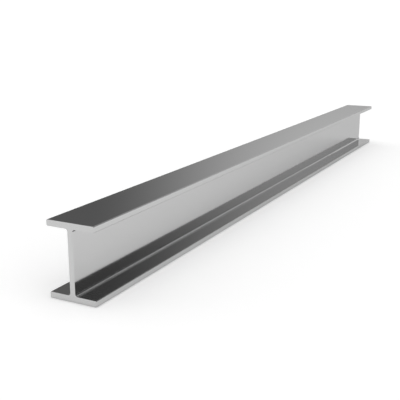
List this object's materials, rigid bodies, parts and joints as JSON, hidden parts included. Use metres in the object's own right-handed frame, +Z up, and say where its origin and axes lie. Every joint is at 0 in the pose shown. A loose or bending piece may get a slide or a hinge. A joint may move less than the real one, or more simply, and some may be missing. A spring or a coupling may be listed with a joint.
{
  "type": "steel i-beam",
  "caption": "Straight cut length of bright steel I-section: parallel flanges, web, rounded roots and square sawn ends; a beam, lintel, rail or frame member.",
  "frame": {"origin": "on the underside of the lower flange, at mid-length, under the middle of the web", "axes": "+X along the length, +Z up from the lower flange to the upper one, Y across the flanges"},
  "size_m": [2, 0.1064, 0.155],
  "materials": {
    "bright_steel": "gloss"
  },
  "bodies": {
    "root": {"i_beam": "bright_steel"}
  },
  "joints": []
}
